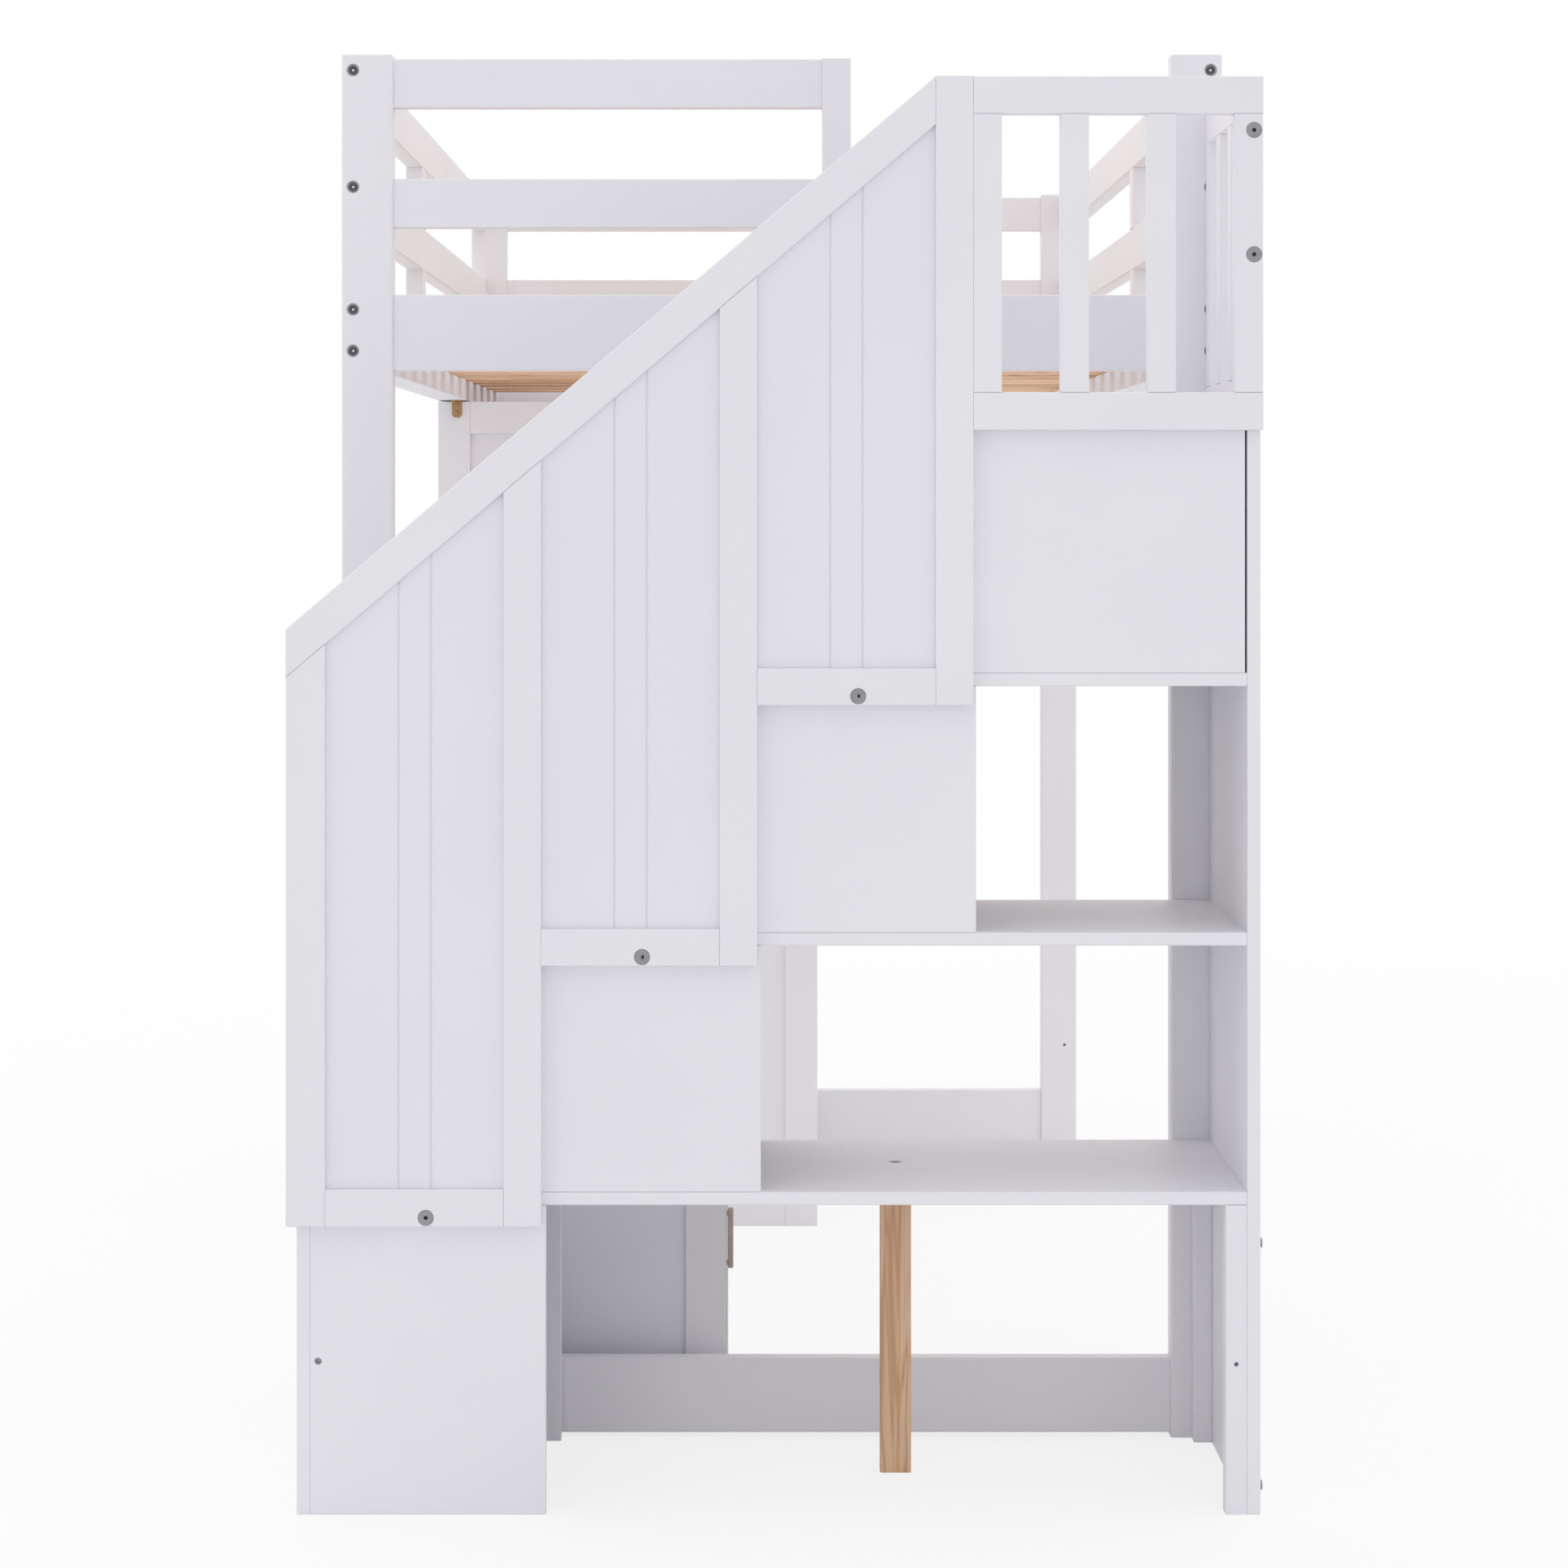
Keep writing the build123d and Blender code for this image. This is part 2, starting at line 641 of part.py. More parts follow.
def case(name, x_span, y_span, height, plinth, leaf_names, pull_z, more_boards):
    """A case with a framed near side and pivoted doors inset on its right side."""
    near_y = y_span[0]
    inside = (near_y + frame_thickness, y_span[1] - case_board)
    front_x = x_span[1] - door_setback
    board_x = (x_span[0] + back_thickness, front_x)
    floor_z = (plinth, plinth + case_board)
    top_z = (height - case_board, height)
    frame_y = (near_y, inside[0])
    field_x = (x_span[0] + frame_width, x_span[1] - frame_width)
    near_frame = [
        board((x_span[0], field_x[0]), frame_y, (0, height), small_ease),
        board((field_x[1], x_span[1]), frame_y, (0, height), small_ease),
        board(field_x, frame_y, (height - frame_width, height), small_ease),
        board(field_x, frame_y, (0, frame_width), small_ease),
    ]
    save(group(near_frame), f"{name}_near_frame")
    field_y = near_y + (frame_thickness - field_thickness) / 2
    field_z = (frame_width, height - frame_width)
    save(board(field_x, (field_y, field_y + field_thickness), field_z, 0), f"{name}_near_panel")
    save(board(x_span, (inside[1], y_span[1]), (0, height), small_ease), f"{name}_far_side")
    save(board((x_span[0], board_x[0]), inside, (0, height), 0), f"{name}_back")

    pivot_x = front_x - pivot_face
    hinge_sides = (-1, 1)[: len(leaf_names)]
    pivots = []
    for hinge_side in hinge_sides:
        edge_y = inside[0] if hinge_side < 0 else inside[1]
        pivots.append((pivot_x, edge_y - hinge_side * (door_gap + pivot_edge)))
    with BuildPart() as boards:
        add(board(board_x, inside, top_z, small_ease).part)
        add(board(board_x, inside, floor_z, small_ease).part)
        add(board((front_x - case_board, front_x), inside, (0, plinth), 0).part)
        for more_board in more_boards:
            add(more_board.part)
        with Locations(*[level_face(x, y, top_z[0], -1) for x, y in pivots]):
            Hole(pin_radius + pin_fit, pin_depth)
        with Locations(*[level_face(x, y, floor_z[1], 1) for x, y in pivots]):
            Hole(pin_radius + pin_fit, pin_depth)
    save(boards, f"{name}_boards")

    door_z = (floor_z[1] + door_gap, top_z[0] - door_gap)
    middle_z = (door_z[0] + door_z[1]) / 2
    leaf_width = (inside[1] - inside[0] - door_gap) / len(leaf_names) - door_gap
    for number, (leaf_name, hinge_side, pivot) in enumerate(zip(leaf_names, hinge_sides, pivots)):
        low_y = inside[0] + door_gap + number * (leaf_width + door_gap)
        leaf_y = (low_y, low_y + leaf_width)
        with BuildPart() as door:
            add(board((front_x - door_thickness, front_x), leaf_y, door_z, small_ease).part)
            with BuildSketch(Plane.YZ.offset(front_x)):
                with Locations((sum(leaf_y) / 2, middle_z)):
                    Rectangle(
                        leaf_width - 2 * door_frame_width,
                        door_z[1] - door_z[0] - 2 * door_frame_width,
                    )
            extrude(amount=-door_field_depth, mode=Mode.SUBTRACT)
            with Locations(level_face(*pivot, door_z[1], 1), level_face(*pivot, door_z[0], -1)):
                Hole(pin_radius + pin_fit, pin_depth)
        save(door, f"{name}_door{leaf_name}")
        free_y = leaf_y[1] if hinge_side < 0 else leaf_y[0]
        save(bar_pull(front_x, free_y + hinge_side * pull_edge, pull_z), f"{name}_pull{leaf_name}")

    with BuildPart() as pins:
        for level in (floor_z[1] + door_gap / 2, top_z[0] - door_gap / 2):
            with BuildSketch(Plane.XY.offset(level)):
                with Locations(*pivots):
                    Circle(pin_radius)
            extrude(amount=pin_reach, both=True)
    save(pins, f"{name}_pivot_pins")


# Wardrobe with a hat shelf and a hanging rod
wardrobe_y = (wardrobe_near_y, rail_far_y - wardrobe_far_gap)
hat_shelf_y = (wardrobe_near_y + frame_thickness, wardrobe_y[1] - case_board)
hat_shelf_x = (
    wardrobe_x[0] + back_thickness,
    wardrobe_x[1] - door_setback - door_thickness - shelf_door_gap,
)
hat_shelf = board(hat_shelf_x, hat_shelf_y, (hat_shelf_z, hat_shelf_z + case_board), small_ease)
case(
    "wardrobe",
    wardrobe_x,
    wardrobe_y,
    wardrobe_height,
    wardrobe_plinth,
    ("_near", "_far"),
    wardrobe_pull_z,
    [hat_shelf],
)
rod_near_y = wardrobe_near_y + (frame_thickness + field_thickness) / 2
with BuildPart() as rod:
    with BuildSketch(Plane.XZ.offset(-hat_shelf_y[1])):
        with Locations((sum(hat_shelf_x) / 2, hat_shelf_z - rod_drop)):
            Circle(rod_radius)
    extrude(amount=hat_shelf_y[1] - rod_near_y)
save(rod, "wardrobe_rod")

# Low cabinet
cabinet_y = (cabinet_near_y, cabinet_near_y + cabinet_depth)
case("cabinet", cabinet_x, cabinet_y, cabinet_height, cabinet_plinth, ("",), cabinet_pull_z, [])

# Tie bracket from the wardrobe's near face to the ledge above it
bracket_x = across(-1, rail_inner_x) + bracket_inset
bracket_fold_y = wardrobe_near_y - bracket_thickness
bracket_fold_z = bed_rail_z - bracket_thickness
with BuildPart() as bracket:
    with BuildSketch(Plane.YZ.offset(bracket_x)):
        with BuildLine():
            Polyline(
                (wardrobe_near_y, bed_rail_z - bracket_leg),
                (wardrobe_near_y, bed_rail_z),
                (wardrobe_near_y - bracket_leg, bed_rail_z),
                (wardrobe_near_y - bracket_leg, bracket_fold_z),
                (bracket_fold_y, bracket_fold_z),
                (bracket_fold_y, bed_rail_z - bracket_leg),
                close=True,
            )
        make_face()
    extrude(amount=bracket_width)
    lower_end = bracket.edges().filter_by(Axis.Y).group_by(Axis.Z)[0]
    near_end = bracket.edges().filter_by(Axis.Z).group_by(Axis.Y)[0]
    fillet(lower_end + near_end, bracket_round)
save(bracket, "tie_bracket")


def bolt(place, depth, radius, height, length):
    """A socket head bolt whose head sits at a depth below a face."""
    seat = place.offset(-depth)
    with BuildPart() as piece:
        with BuildSketch(seat):
            Circle(radius)
        extrude(amount=height)
        with BuildSketch(seat):
            Circle(shank_radius)
        extrude(amount=-length)
        with BuildSketch(seat.offset(height)):
            RegularPolygon(socket_size / 2, 6)
        extrude(amount=-socket_depth, mode=Mode.SUBTRACT)
    return piece


# Bolts through the posts into the side rails and the end rails
corners = [(side, end) for side in (-1, 1) for end in (-1, 1)]
long_reach = post_depth - counterbore_depth + bolt_grip - tip_gap
cross_reach = post_width - counterbore_depth + bolt_grip - tip_gap
side_rail_bolts = [
    bolt(place, counterbore_depth, head_radius, head_height, long_reach)
    for side, end in corners
    for place in end_places(side, end)
]
save(group(side_rail_bolts), "side_rail_bolts")
end_rail_bolts = [
    bolt(place, counterbore_depth, head_radius, head_height, cross_reach)
    for side, end in corners
    for place in cross_places(side, end)
]
save(group(end_rail_bolts), "end_rail_bolts")

# Flush cap bolts of the guards, and the bolts of the side panel and the pine leg
cap_reach = guard_thickness - cap_height
stair_bolts = [
    bolt(near_face(*place, guard_y), cap_height, cap_radius, cap_height, cap_reach + cheek_grip)
    for place in panel_bolts
]
stair_bolts += [
    bolt(near_face(landing_bolt_x, z, guard_y), cap_height, cap_radius, cap_height, cap_reach + stile_grip)
    for z in landing_bolt_zs
]
stair_bolts += [
    bolt(side_face(right_x, y, z, 1), 0, head_radius, head_height, case_board + leg_grip)
    for y, z in leg_bolts
]
shelf_reach = tread_thickness - counterbore_depth + shelf_bolt_grip - tip_gap
shelf_place = level_face(*pine_leg_middle, tread_tops[0], 1)
stair_bolts.append(bolt(shelf_place, counterbore_depth, head_radius, head_height, shelf_reach))
save(group(stair_bolts), "stair_bolts")
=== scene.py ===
import bpy
import bmesh
import math
from mathutils import Matrix, Vector


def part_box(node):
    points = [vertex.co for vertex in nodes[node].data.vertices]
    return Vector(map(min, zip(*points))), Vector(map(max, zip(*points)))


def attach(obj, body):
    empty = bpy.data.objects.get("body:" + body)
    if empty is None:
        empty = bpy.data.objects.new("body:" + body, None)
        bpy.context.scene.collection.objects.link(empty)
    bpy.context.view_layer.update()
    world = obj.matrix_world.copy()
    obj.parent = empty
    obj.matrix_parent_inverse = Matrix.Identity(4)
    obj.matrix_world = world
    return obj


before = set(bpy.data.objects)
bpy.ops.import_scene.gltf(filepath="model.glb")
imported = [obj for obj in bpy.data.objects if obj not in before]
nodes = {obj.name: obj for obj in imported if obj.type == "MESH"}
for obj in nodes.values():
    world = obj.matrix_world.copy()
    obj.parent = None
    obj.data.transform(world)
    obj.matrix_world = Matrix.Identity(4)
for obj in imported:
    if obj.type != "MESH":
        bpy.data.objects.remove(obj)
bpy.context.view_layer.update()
scene = bpy.context.scene


class Shader:
    """A material's node tree, with short calls to add and join nodes."""

    def __init__(self, name):
        self.material = bpy.data.materials.new(name)
        self.material.use_nodes = True
        self.tree = self.material.node_tree
        self.shader = self.tree.nodes["Principled BSDF"]

    def add(self, kind, **values):
        node = self.tree.nodes.new(kind)
        for key, value in values.items():
            setattr(node, key, value)
        return node

    def join(self, source, target):
        self.tree.links.new(source, target)

    def coords(self, scale=(1, 1, 1), shift=(0, 0, 0)):
        place = self.add("ShaderNodeTexCoord")
        mapping = self.add("ShaderNodeMapping")
        mapping.inputs["Scale"].default_value = scale
        mapping.inputs["Location"].default_value = shift
        self.join(place.outputs["Object"], mapping.inputs["Vector"])
        return mapping.outputs["Vector"]

    def noise(self, vector, scale, detail=3.0, roughness=0.5, distortion=0.0):
        node = self.add("ShaderNodeTexNoise")
        node.inputs["Scale"].default_value = scale
        node.inputs["Detail"].default_value = detail
        node.inputs["Roughness"].default_value = roughness
        node.inputs["Distortion"].default_value = distortion
        self.join(vector, node.inputs["Vector"])
        return node.outputs["Fac"]

    def ramp(self, fac, stops):
        node = self.add("ShaderNodeValToRGB")
        elements = node.color_ramp.elements
        while len(elements) < len(stops):
            elements.new(0.5)
        for element, (place, colour) in zip(elements, stops):
            element.position = place
            element.color = (*colour, 1)
        self.join(fac, node.inputs["Fac"])
        return node.outputs["Color"]

    def span(self, fac, low, high):
        node = self.add("ShaderNodeMapRange")
        node.inputs["To Min"].default_value = low
        node.inputs["To Max"].default_value = high
        self.join(fac, node.inputs["Value"])
        return node.outputs["Result"]

    def mix(self, fac, first, second, blend="MIX"):
        node = self.add("ShaderNodeMix", data_type="RGBA", blend_type=blend)
        if isinstance(fac, float):
            node.inputs["Factor"].default_value = fac
        else:
            self.join(fac, node.inputs["Factor"])
        sockets = [s for s in node.inputs if s.type == "RGBA"]
        for value, socket in zip((first, second), sockets):
            if isinstance(value, tuple):
                socket.default_value = (*value, 1)
            else:
                self.join(value, socket)
        return [s for s in node.outputs if s.type == "RGBA"][0]

    def math(self, operation, first, second):
        node = self.add("ShaderNodeMath", operation=operation)
        for value, socket in zip((first, second), node.inputs):
            if isinstance(value, (int, float)):
                socket.default_value = value
            else:
                self.join(value, socket)
        return node.outputs["Value"]

    def bump(self, height, strength, distance, normal=None):
        node = self.add("ShaderNodeBump")
        node.inputs["Strength"].default_value = strength
        node.inputs["Distance"].default_value = distance
        self.join(height, node.inputs["Height"])
        if normal is not None:
            self.join(normal, node.inputs["Normal"])
        return node.outputs["Normal"]

    def finish(self, colour=None, roughness=None, normal=None):
        for value, name in ((colour, "Base Color"), (roughness, "Roughness"), (normal, "Normal")):
            if value is not None:
                self.join(value, self.shader.inputs[name])
        return self.material


# Spacing of the slats, and the shift in cells that puts each slat inside one cell of the grain
SLAT_PITCH = 0.14383
SLAT_CELL_SHIFT = 0.6993

# Scales of the wood grain under the paint, lowest along the board
GRAIN = {"X": (2.2, 30, 30), "Y": (30, 2.2, 30), "Z": (30, 30, 2.2)}


def painted(name, axis=None, light=(0.862, 0.852, 0.884), dark=(0.826, 0.816, 0.852)):
    """Satin white paint: a fine roller texture, with faint wood grain under it on solid boards."""
    m = Shader(name)
    plain = m.coords()
    cloud = m.noise(plain, 2.6, 4, 0.55)
    colour = m.ramp(cloud, [(0.30, dark), (0.72, light)])
    speck = m.noise(plain, 620, 2, 0.6)
    colour = m.mix(m.span(speck, 0.0, 0.05), colour, (0.62, 0.61, 0.64))
    peel = m.noise(plain, 260, 3, 0.55)
    smear = m.noise(m.coords((6, 6, 1.5), (3, 1, 2)), 3.0, 3, 0.5)
    roughness = m.span(m.math("ADD", m.math("MULTIPLY", peel, 0.35), smear), 0.34, 0.56)
    edge = m.add("ShaderNodeBevel", samples=4)
    edge.inputs["Radius"].default_value = 0.0012
    normal = m.bump(peel, 0.05, 0.0006, edge.outputs["Normal"])
    if axis:
        grain = m.noise(m.coords(GRAIN[axis]), 7.0, 5, 0.62, 0.4)
        normal = m.bump(grain, 0.10, 0.0008, normal)
        colour = m.mix(m.span(grain, 0.0, 0.10), colour, (0.70, 0.685, 0.715))
    m.shader.inputs["Specular IOR Level"].default_value = 0.42
    return m.finish(colour, roughness, normal)


def pine(name, axis, tone, pitch=None):
    """Bare planed pine: bands of early and late wood, fine fibres and a few small knots."""
    m = Shader(name)
    along = "XYZ".index(axis)
    stretch = [1.0, 1.0, 1.0]
    stretch[along] = 0.05
    vector = m.coords(tuple(stretch))
    if pitch:
        axes = m.add("ShaderNodeSeparateXYZ")
        m.join(m.coords(), axes.inputs["Vector"])
        cells = m.math("MULTIPLY", axes.outputs["Y"], 1 / pitch)
        number = m.math("FLOOR", m.math("SUBTRACT", cells, SLAT_CELL_SHIFT), 0.0)
        chance = m.add("ShaderNodeTexWhiteNoise", noise_dimensions="1D")
        m.join(number, chance.inputs["W"])
        offset = m.add("ShaderNodeVectorMath", operation="SCALE")
        m.join(chance.outputs["Color"], offset.inputs["Vector"])
        offset.inputs["Scale"].default_value = 3.0
        moved = m.add("ShaderNodeVectorMath", operation="ADD")
        m.join(vector, moved.inputs[0])
        m.join(offset.outputs["Vector"], moved.inputs[1])
        vector = moved.outputs["Vector"]
    rings = m.noise(vector, 58, 2, 0.45, 0.7)
    bands = m.math("PINGPONG", m.math("MULTIPLY", rings, 9.0), 1.0)
    colour = m.ramp(
        bands,
        [
            (0.0, tuple(c * tone for c in (0.80, 0.545, 0.355))),
            (0.62, tuple(c * tone for c in (0.735, 0.465, 0.285))),
            (1.0, tuple(c * tone for c in (0.56, 0.315, 0.175))),
        ],
    )
    fibre = m.noise(vector, 900, 3, 0.6)
    colour = m.mix(m.span(fibre, 0.0, 0.28), colour, tuple(c * tone for c in (0.50, 0.30, 0.18)))
    if pitch:
        shade = m.span(chance.outputs["Value"], 0.82, 1.06)
        tint = m.add("ShaderNodeCombineColor")
        for socket in ("Red", "Green", "Blue"):
            m.join(shade, tint.inputs[socket])
        colour = m.mix(1.0, colour, tint.outputs["Color"], "MULTIPLY")
    knot = m.add("ShaderNodeTexVoronoi", feature="F1")
    knot.inputs["Scale"].default_value = 5.0
    stretch[along] = 0.45
    m.join(m.coords(tuple(stretch), (0.3, 0.7, 0.2)), knot.inputs["Vector"])
    spot = m.ramp(knot.outputs["Distance"], [(0.028, (1, 1, 1)), (0.055, (0, 0, 0))])
    colour = m.mix(spot, colour, tuple(c * tone for c in (0.26, 0.12, 0.055)))
    roughness = m.span(fibre, 0.52, 0.74)
    normal = m.bump(m.math("ADD", fibre, bands), 0.18, 0.0004)
    return m.finish(colour, roughness, normal)


def metal(name, colour, roughness, grain_scale, marks=0.5):
    """Plated or brushed metal with fine scratches and a cloudy sheen."""
    m = Shader(name)
    m.shader.inputs["Metallic"].default_value = 1.0
    scratch = m.noise(m.coords((1, 1, 14)), grain_scale, 4, 0.6)
    cloud = m.noise(m.coords(), 90, 3, 0.55)
    base = m.ramp(cloud, [(0.3, tuple(c * 0.82 for c in colour)), (0.75, colour)])
    marked = m.math("ADD", scratch, m.math("MULTIPLY", cloud, marks))
    rough = m.span(marked, roughness - 0.10, roughness + 0.12)
    return m.finish(base, rough, m.bump(scratch, 0.08, 0.0002))


def fibreboard(name):
    """The raw brown edge of a painted board."""
    m = Shader(name)
    fleck = m.noise(m.coords(), 1400, 3, 0.7)
    colour = m.ramp(fleck, [(0.3, (0.22, 0.13, 0.075)), (0.7, (0.42, 0.28, 0.18))])
    m.shader.inputs["Roughness"].default_value = 0.9
    return m.finish(colour, None, m.bump(fleck, 0.3, 0.0003))


def socket_shade_finish(name):
    """Painted shade: the inside of a socket in near black."""
    m = Shader(name)
    mark = m.noise(m.coords(), 1500, 2, 0.5)
    colour = m.ramp(mark, [(0.3, (0.012, 0.012, 0.014)), (0.7, (0.045, 0.045, 0.05))])
    m.shader.inputs["Metallic"].default_value = 0.6
    return m.finish(colour, m.span(mark, 0.45, 0.7))


paint_board = painted("painted_board")
paint_x = painted("painted_wood_x", "X")
paint_y = painted("painted_wood_y", "Y")
paint_z = painted("painted_wood_z", "Z")
# The recessed panels and backs take a slightly darker, bluer copy of the white paint: painted shade of
# their recess
paint_panel_shaded = painted("painted_panel_shaded", None, (0.845, 0.835, 0.878), (0.812, 0.802, 0.846))
pine_slat = pine("pine_slat", "X", 1.16, SLAT_PITCH)
pine_post = pine("pine_post", "Z", 0.97)
steel = metal("zinc_steel", (0.36, 0.365, 0.38), 0.34, 320)
dark_steel = metal("dark_zinc_steel", (0.12, 0.124, 0.132), 0.30, 320)
# A bright copy of the bolt steel for the post bolts' socket floors: a painted highlight at the bottom
# of each socket
socket_floor_highlight_steel = metal("socket_floor_painted_highlight", (0.80, 0.80, 0.82), 0.25, 320)
yellow = metal("yellow_zinc", (0.46, 0.30, 0.14), 0.30, 260)
pull_metal = metal("pull_metal", (0.42, 0.36, 0.31), 0.38, 420)
chrome = metal("chrome_tube", (0.78, 0.78, 0.80), 0.16, 200, 0.2)
raw_edge = fibreboard("raw_edge")
# Near-black painted shade for the stair bolts' socket floors
socket_shade = socket_shade_finish("socket_painted_shade")

ACROSS = (
    "near_end_rail near_foot_rail near_guard_rails far_end_rail far_foot_rail far_guard_rails "
    "lower_rails landing_rails slope_rail"
).split()
ALONG = (
    "side_rail_left side_rail_right side_guards_left side_guards_right slat_ledges "
    "landing_side_rails"
).split()
UPRIGHT = (
    "post_near_left post_near_right post_far_left post_far_right entry_post guard_uprights "
    "rail_stiles landing_balusters landing_side_balusters shelf_legs wardrobe_near_frame "
    "cabinet_near_frame"
).split()
PANELS = "bead_panels wardrobe_near_panel cabinet_near_panel wardrobe_back cabinet_back".split()
PAINTS = ((ACROSS, paint_x), (ALONG, paint_y), (UPRIGHT, paint_z), (PANELS, paint_panel_shaded))


def finish_of(name):
    """The material that a node shows."""
    if name == "bed_slats":
        return pine_slat
    if name == "pine_leg":
        return pine_post
    if name in ("side_rail_bolts", "end_rail_bolts"):
        return dark_steel
    if name == "stair_bolts" or name.endswith("_pivot_pins"):
        return steel
    if name == "tie_bracket":
        return yellow
    if "_pull" in name:
        return pull_metal
    if name == "wardrobe_rod":
        return chrome
    for group, material in PAINTS:
        if name in group:
            return material
    return paint_board


for name, piece in nodes.items():
    if not piece.material_slots:
        piece.data.materials.append(finish_of(name))
    for place in piece.material_slots:
        place.material = finish_of(name)


def piece_from(mesh, name, material, body="bed"):
    """A finished mesh as a piece of the scene, riding on a body."""
    data = bpy.data.meshes.new(name)
    mesh.to_mesh(data)
    mesh.free()
    data.materials.append(material)
    obj = bpy.data.objects.new(name, data)
    scene.collection.objects.link(obj)
    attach(obj, body)


def turned(mesh, profile, sides, matrix):
    """A shape turned about local Z, from (radius, height) points, first and last closed."""
    rings = []
    for radius, height in profile:
        ring = []
        for k in range(sides):
            angle = 2 * math.pi * k / sides
            point = Vector((radius * math.cos(angle), radius * math.sin(angle), height))
            ring.append(mesh.verts.new(matrix @ point))
        rings.append(ring)
    for low, high in zip(rings[:-1], rings[1:]):
        for k in range(sides):
            j = (k + 1) % sides
            mesh.faces.new((low[k], low[j], high[j], high[k]))
    mesh.faces.new(list(reversed(rings[0])))
    mesh.faces.new(rings[-1])


def facing(direction, point):
    """A place at a point whose local Z looks along a direction."""
    turn = Vector(direction).to_track_quat("Z", "Y").to_matrix().to_4x4()
    return Matrix.Translation(point) @ turn


# Places of the bolts, as the model has them, in metres
near_y, stair_y, bed_y, far_y = -1.1625, -1.1425, -0.8175, 1.1625
bed_x, half_width = 0.00925, 0.53175
right_x = 0.541
post_middle = 0.016
rail_x = half_width - 0.014
along_zs = (1.651, 1.510, 1.362, 1.312)
across_guard_zs = (1.624, 1.479)
across_rail_zs = (1.334, 0.050)
stile_places = ((-0.3885, 0.335), (-0.147, 0.6245), (0.093, 0.914))
landing_bolt_x = 0.531
landing_zs = (1.5425, 1.4045)
leg_ys = (stair_y + 0.012, bed_y - 0.011)
leg_zs = (0.030, 0.301)
pine_leg_place = (0.1405, stair_y + 0.1805, 0.360)

# How far the top of a bolt head lies below the face it is in, or stands out from it
SUNK_HEAD = 0.0005
FLUSH_HEAD = 0.0
PROUD_HEAD = -0.003
bolts = []
for side in (-1, 1):
    for z in along_zs:
        bolts.append(((bed_x + side * rail_x, bed_y, z), (0, -1, 0), SUNK_HEAD))
        bolts.append(((bed_x + side * rail_x, far_y, z), (0, 1, 0), SUNK_HEAD))
    for end in (-1, 1):
        y = bed_y + post_middle if end < 0 else far_y - post_middle
        zs = across_rail_zs if side > 0 and end < 0 else across_guard_zs + across_rail_zs
        for z in zs:
            bolts.append(((bed_x + side * half_width, y, z), (side, 0, 0), SUNK_HEAD))
post_bolt_count = len(bolts)
for x, z in stile_places:
    bolts.append(((x, near_y, z), (0, -1, 0), FLUSH_HEAD))
for z in landing_zs:
    bolts.append(((landing_bolt_x, near_y, z), (0, -1, 0), FLUSH_HEAD))
for y in leg_ys:
    for z in leg_zs:
        bolts.append(((right_x, y, z), (1, 0, 0), PROUD_HEAD))
bolts.append((pine_leg_place, (0, 0, 1), SUNK_HEAD))

# Bottoms of the bolts' sockets: (radius, height) points, and how far they lie below the head's top
SOCKET_PROFILE = [(0.0024, -0.00008), (0.0024, 0.0), (0.0016, 0.0004)]
SOCKET_DROP = 0.0019
# The post bolts' socket floors carry a painted highlight, and the stair bolts' socket floors carry
# painted shade
socket_groups = (
    ("post_socket_floors", bolts[:post_bolt_count], socket_floor_highlight_steel),
    ("stair_socket_floors", bolts[post_bolt_count:], socket_shade),
)
for group_name, group_bolts, material in socket_groups:
    sockets = bmesh.new()
    for point, direction, depth in group_bolts:
        socket_floor = Vector(point) - Vector(direction) * (depth + SOCKET_DROP)
        turned(sockets, SOCKET_PROFILE, 6, facing(direction, socket_floor))
    piece_from(sockets, group_name, material)

# Pan head screws of the tie bracket, one on the inner face of each leg
SCREW_PROFILE = [(0.0030, 0.0), (0.0032, 0.0006), (0.0030, 0.0013), (0.0021, 0.0019), (0.0009, 0.0022)]
screws = bmesh.new()
lo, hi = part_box("tie_bracket")
bracket_thickness = 0.002
screw_x = (lo[0] + hi[0]) / 2
screw_y = lo[1] + 0.0085
screw_z = lo[2] + 0.0075
wall_place = (screw_x, hi[1] - bracket_thickness, screw_z)
ledge_place = (screw_x, screw_y, hi[2] - bracket_thickness)
turned(screws, SCREW_PROFILE, 24, facing((0, -1, 0), wall_place))
turned(screws, SCREW_PROFILE, 24, facing((0, 0, -1), ledge_place))
piece_from(screws, "bracket_screws", yellow)


EASE_SHARE = 0.4


def strip(name, low, high, material):
    """A thin strip of edge between two corners, its own edges eased by a share of its thickness."""
    mesh = bmesh.new()
    bmesh.ops.create_cube(mesh, size=1.0)
    size = Vector(high) - Vector(low)
    middle = (Vector(high) + Vector(low)) / 2
    bmesh.ops.scale(mesh, vec=size, verts=mesh.verts)
    bmesh.ops.translate(mesh, vec=middle, verts=mesh.verts)
    ease = min(size) * EASE_SHARE
    bmesh.ops.bevel(mesh, geom=mesh.edges[:], offset=ease, segments=2, affect="EDGES", profile=0.5)
    piece_from(mesh, name, material)


# Raw edge of the low cabinet's near frame, on the frame's right side
lo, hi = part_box("cabinet_near_frame")
edge_seat, edge_height = 0.0001, 0.0004
edge_inset_y, edge_inset_z = 0.0015, 0.002
strip(
    "cabinet_raw_edge",
    (hi[0] - edge_seat, lo[1] + edge_inset_y, lo[2] + edge_inset_z),
    (hi[0] + edge_height, hi[1] - edge_inset_y, hi[2] - edge_inset_z),
    raw_edge,
)

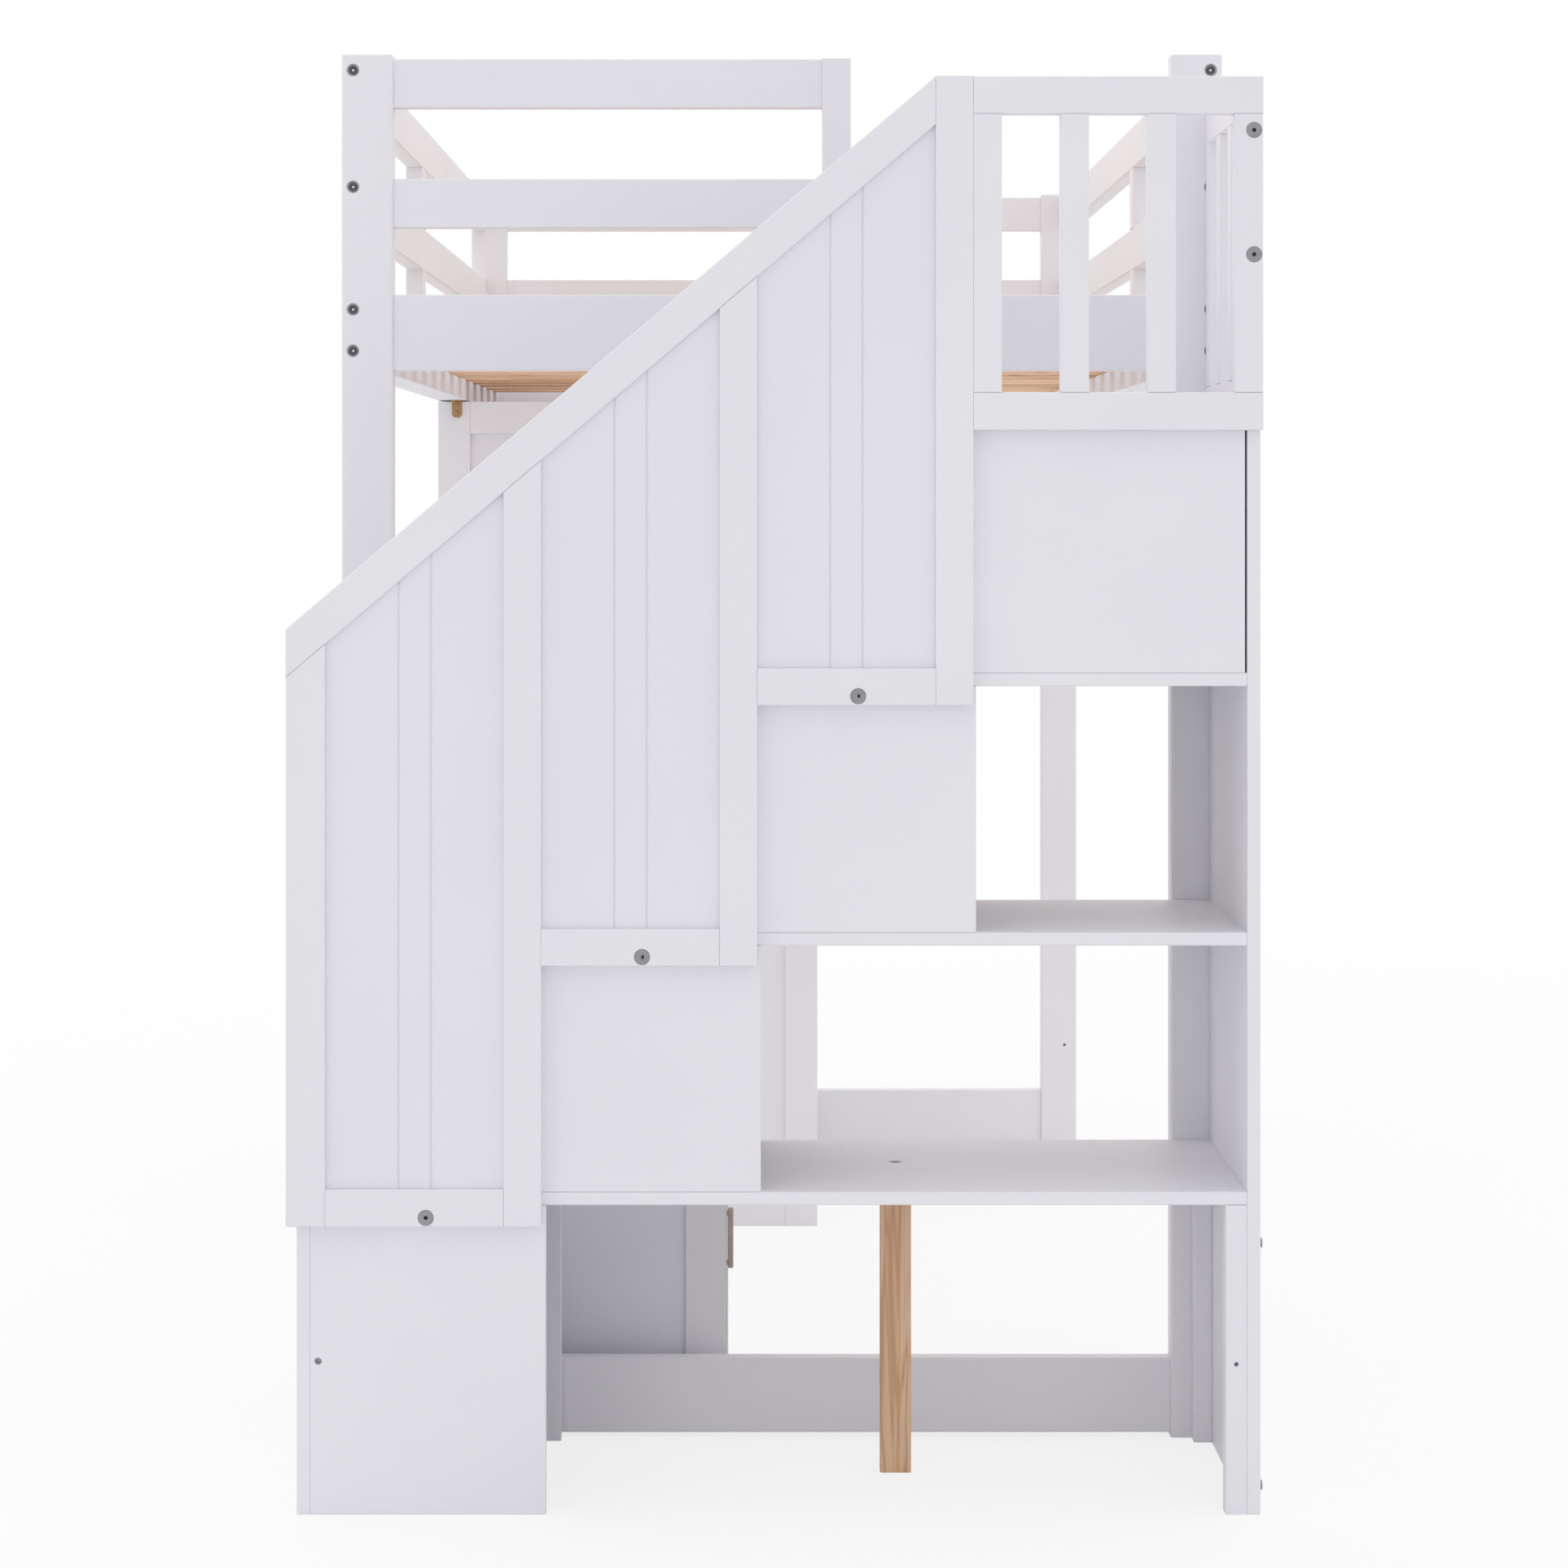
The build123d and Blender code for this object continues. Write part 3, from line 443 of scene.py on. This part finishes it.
# Floor and background. Near the object the floor keeps its shadow, and it turns white farther out
SHADOW_REACH = 2.2
WHITE_REACH = 5.0
NEAR_WHITENESS = 0.76
FLOOR_REACH = 30
floor_mesh = bmesh.new()
bmesh.ops.create_grid(floor_mesh, x_segments=24, y_segments=24, size=FLOOR_REACH)
floor_data = bpy.data.meshes.new("floor")
floor_mesh.to_mesh(floor_data)
floor_mesh.free()
floor_object = bpy.data.objects.new("floor", floor_data)
scene.collection.objects.link(floor_object)
ground = Shader("studio_floor")
ground.shader.inputs["Base Color"].default_value = (0.90, 0.90, 0.905, 1)
ground.shader.inputs["Roughness"].default_value = 0.9
ground.shader.inputs["Specular IOR Level"].default_value = 0.1
glow = ground.add("ShaderNodeEmission")
glow.inputs["Color"].default_value = (1, 1, 1, 1)
glow.inputs["Strength"].default_value = 1.0
blend = ground.add("ShaderNodeMixShader")
path = ground.add("ShaderNodeLightPath")
seen_direct = ground.math("MAXIMUM", path.outputs["Is Camera Ray"], path.outputs["Is Glossy Ray"])
seen_any = ground.math("MAXIMUM", seen_direct, path.outputs["Is Transmission Ray"])
distance = ground.add("ShaderNodeVectorMath", operation="LENGTH")
ground.join(ground.coords(), distance.inputs[0])
whiteness = ground.add("ShaderNodeMapRange")
whiteness.inputs["From Min"].default_value = SHADOW_REACH
whiteness.inputs["From Max"].default_value = WHITE_REACH
whiteness.inputs["To Min"].default_value = NEAR_WHITENESS
whiteness.inputs["To Max"].default_value = 1.0
ground.join(distance.outputs["Value"], whiteness.inputs["Value"])
share = ground.math("MULTIPLY", seen_any, whiteness.outputs["Result"])
ground.join(share, blend.inputs["Fac"])
ground.join(ground.shader.outputs["BSDF"], blend.inputs[1])
ground.join(glow.outputs["Emission"], blend.inputs[2])
out = ground.tree.nodes["Material Output"]
ground.join(blend.outputs["Shader"], out.inputs["Surface"])
floor_data.materials.append(ground.material)

# The world lights the object evenly, and shows as plain white
AMBIENT_LEVEL = 0.925
world = bpy.data.worlds.new("studio")
scene.world = world
world.use_nodes = True
sky = world.node_tree
sky.nodes.clear()
backdrop = sky.nodes.new("ShaderNodeBackground")
backdrop.inputs["Color"].default_value = (1, 1, 1, 1)
backdrop.inputs["Strength"].default_value = 1.0
ambient = sky.nodes.new("ShaderNodeBackground")
ambient.inputs["Color"].default_value = (0.985, 0.985, 1.0, 1)
ambient.inputs["Strength"].default_value = AMBIENT_LEVEL
rays = sky.nodes.new("ShaderNodeLightPath")
seen = sky.nodes.new("ShaderNodeMath")
seen.operation = "MAXIMUM"
seen_more = sky.nodes.new("ShaderNodeMath")
seen_more.operation = "MAXIMUM"
sky_mix = sky.nodes.new("ShaderNodeMixShader")
sky_out = sky.nodes.new("ShaderNodeOutputWorld")
sky.links.new(rays.outputs["Is Camera Ray"], seen.inputs[0])
sky.links.new(rays.outputs["Is Glossy Ray"], seen.inputs[1])
sky.links.new(seen.outputs["Value"], seen_more.inputs[0])
sky.links.new(rays.outputs["Is Transmission Ray"], seen_more.inputs[1])
sky.links.new(seen_more.outputs["Value"], sky_mix.inputs["Fac"])
sky.links.new(ambient.outputs["Background"], sky_mix.inputs[1])
sky.links.new(backdrop.outputs["Background"], sky_mix.inputs[2])
sky.links.new(sky_mix.outputs["Shader"], sky_out.inputs["Surface"])


def softbox(name, place, target, size, power):
    """A square soft light that looks at a target."""
    data = bpy.data.lights.new(name, "AREA")
    data.shape = "SQUARE"
    data.size = size
    data.energy = power
    lamp = bpy.data.objects.new(name, data)
    scene.collection.objects.link(lamp)
    lamp.location = place
    lamp.rotation_mode = "QUATERNION"
    lamp.rotation_quaternion = (Vector(target) - Vector(place)).to_track_quat("-Z", "Y")


# Each lamp's name, place, target, size in metres and power in watts
LAMPS = (
    ("top", (0, 0.2, 5.4), (0, 0.0, 1.0), 3.5, 30.0),
    ("back", (-3.0, 5.5, 3.0), (0, 0.4, 1.0), 3.0, 20.0),
    ("left", (-5.0, -0.5, 2.2), (0, 0.0, 0.9), 3.0, 20.0),
    ("right", (5.0, -0.5, 2.2), (0, 0.0, 0.9), 3.0, 20.0),
)
for lamp_settings in LAMPS:
    softbox(*lamp_settings)

# The camera looks level along the bed from its staircase end, with a shift for the photograph's frame
camera = bpy.data.cameras.new("camera")
camera.lens = 81.3
camera.sensor_width = 36
camera.shift_x = 0.0176
camera.shift_y = -0.1801
camera.clip_end = 200
camera_object = bpy.data.objects.new("camera", camera)
scene.collection.objects.link(camera_object)
camera_object.location = (-0.0215, -5.0925, 1.130)
camera_object.rotation_euler = (math.radians(90), 0, 0)
scene.camera = camera_object

scene.view_settings.view_transform = "Standard"
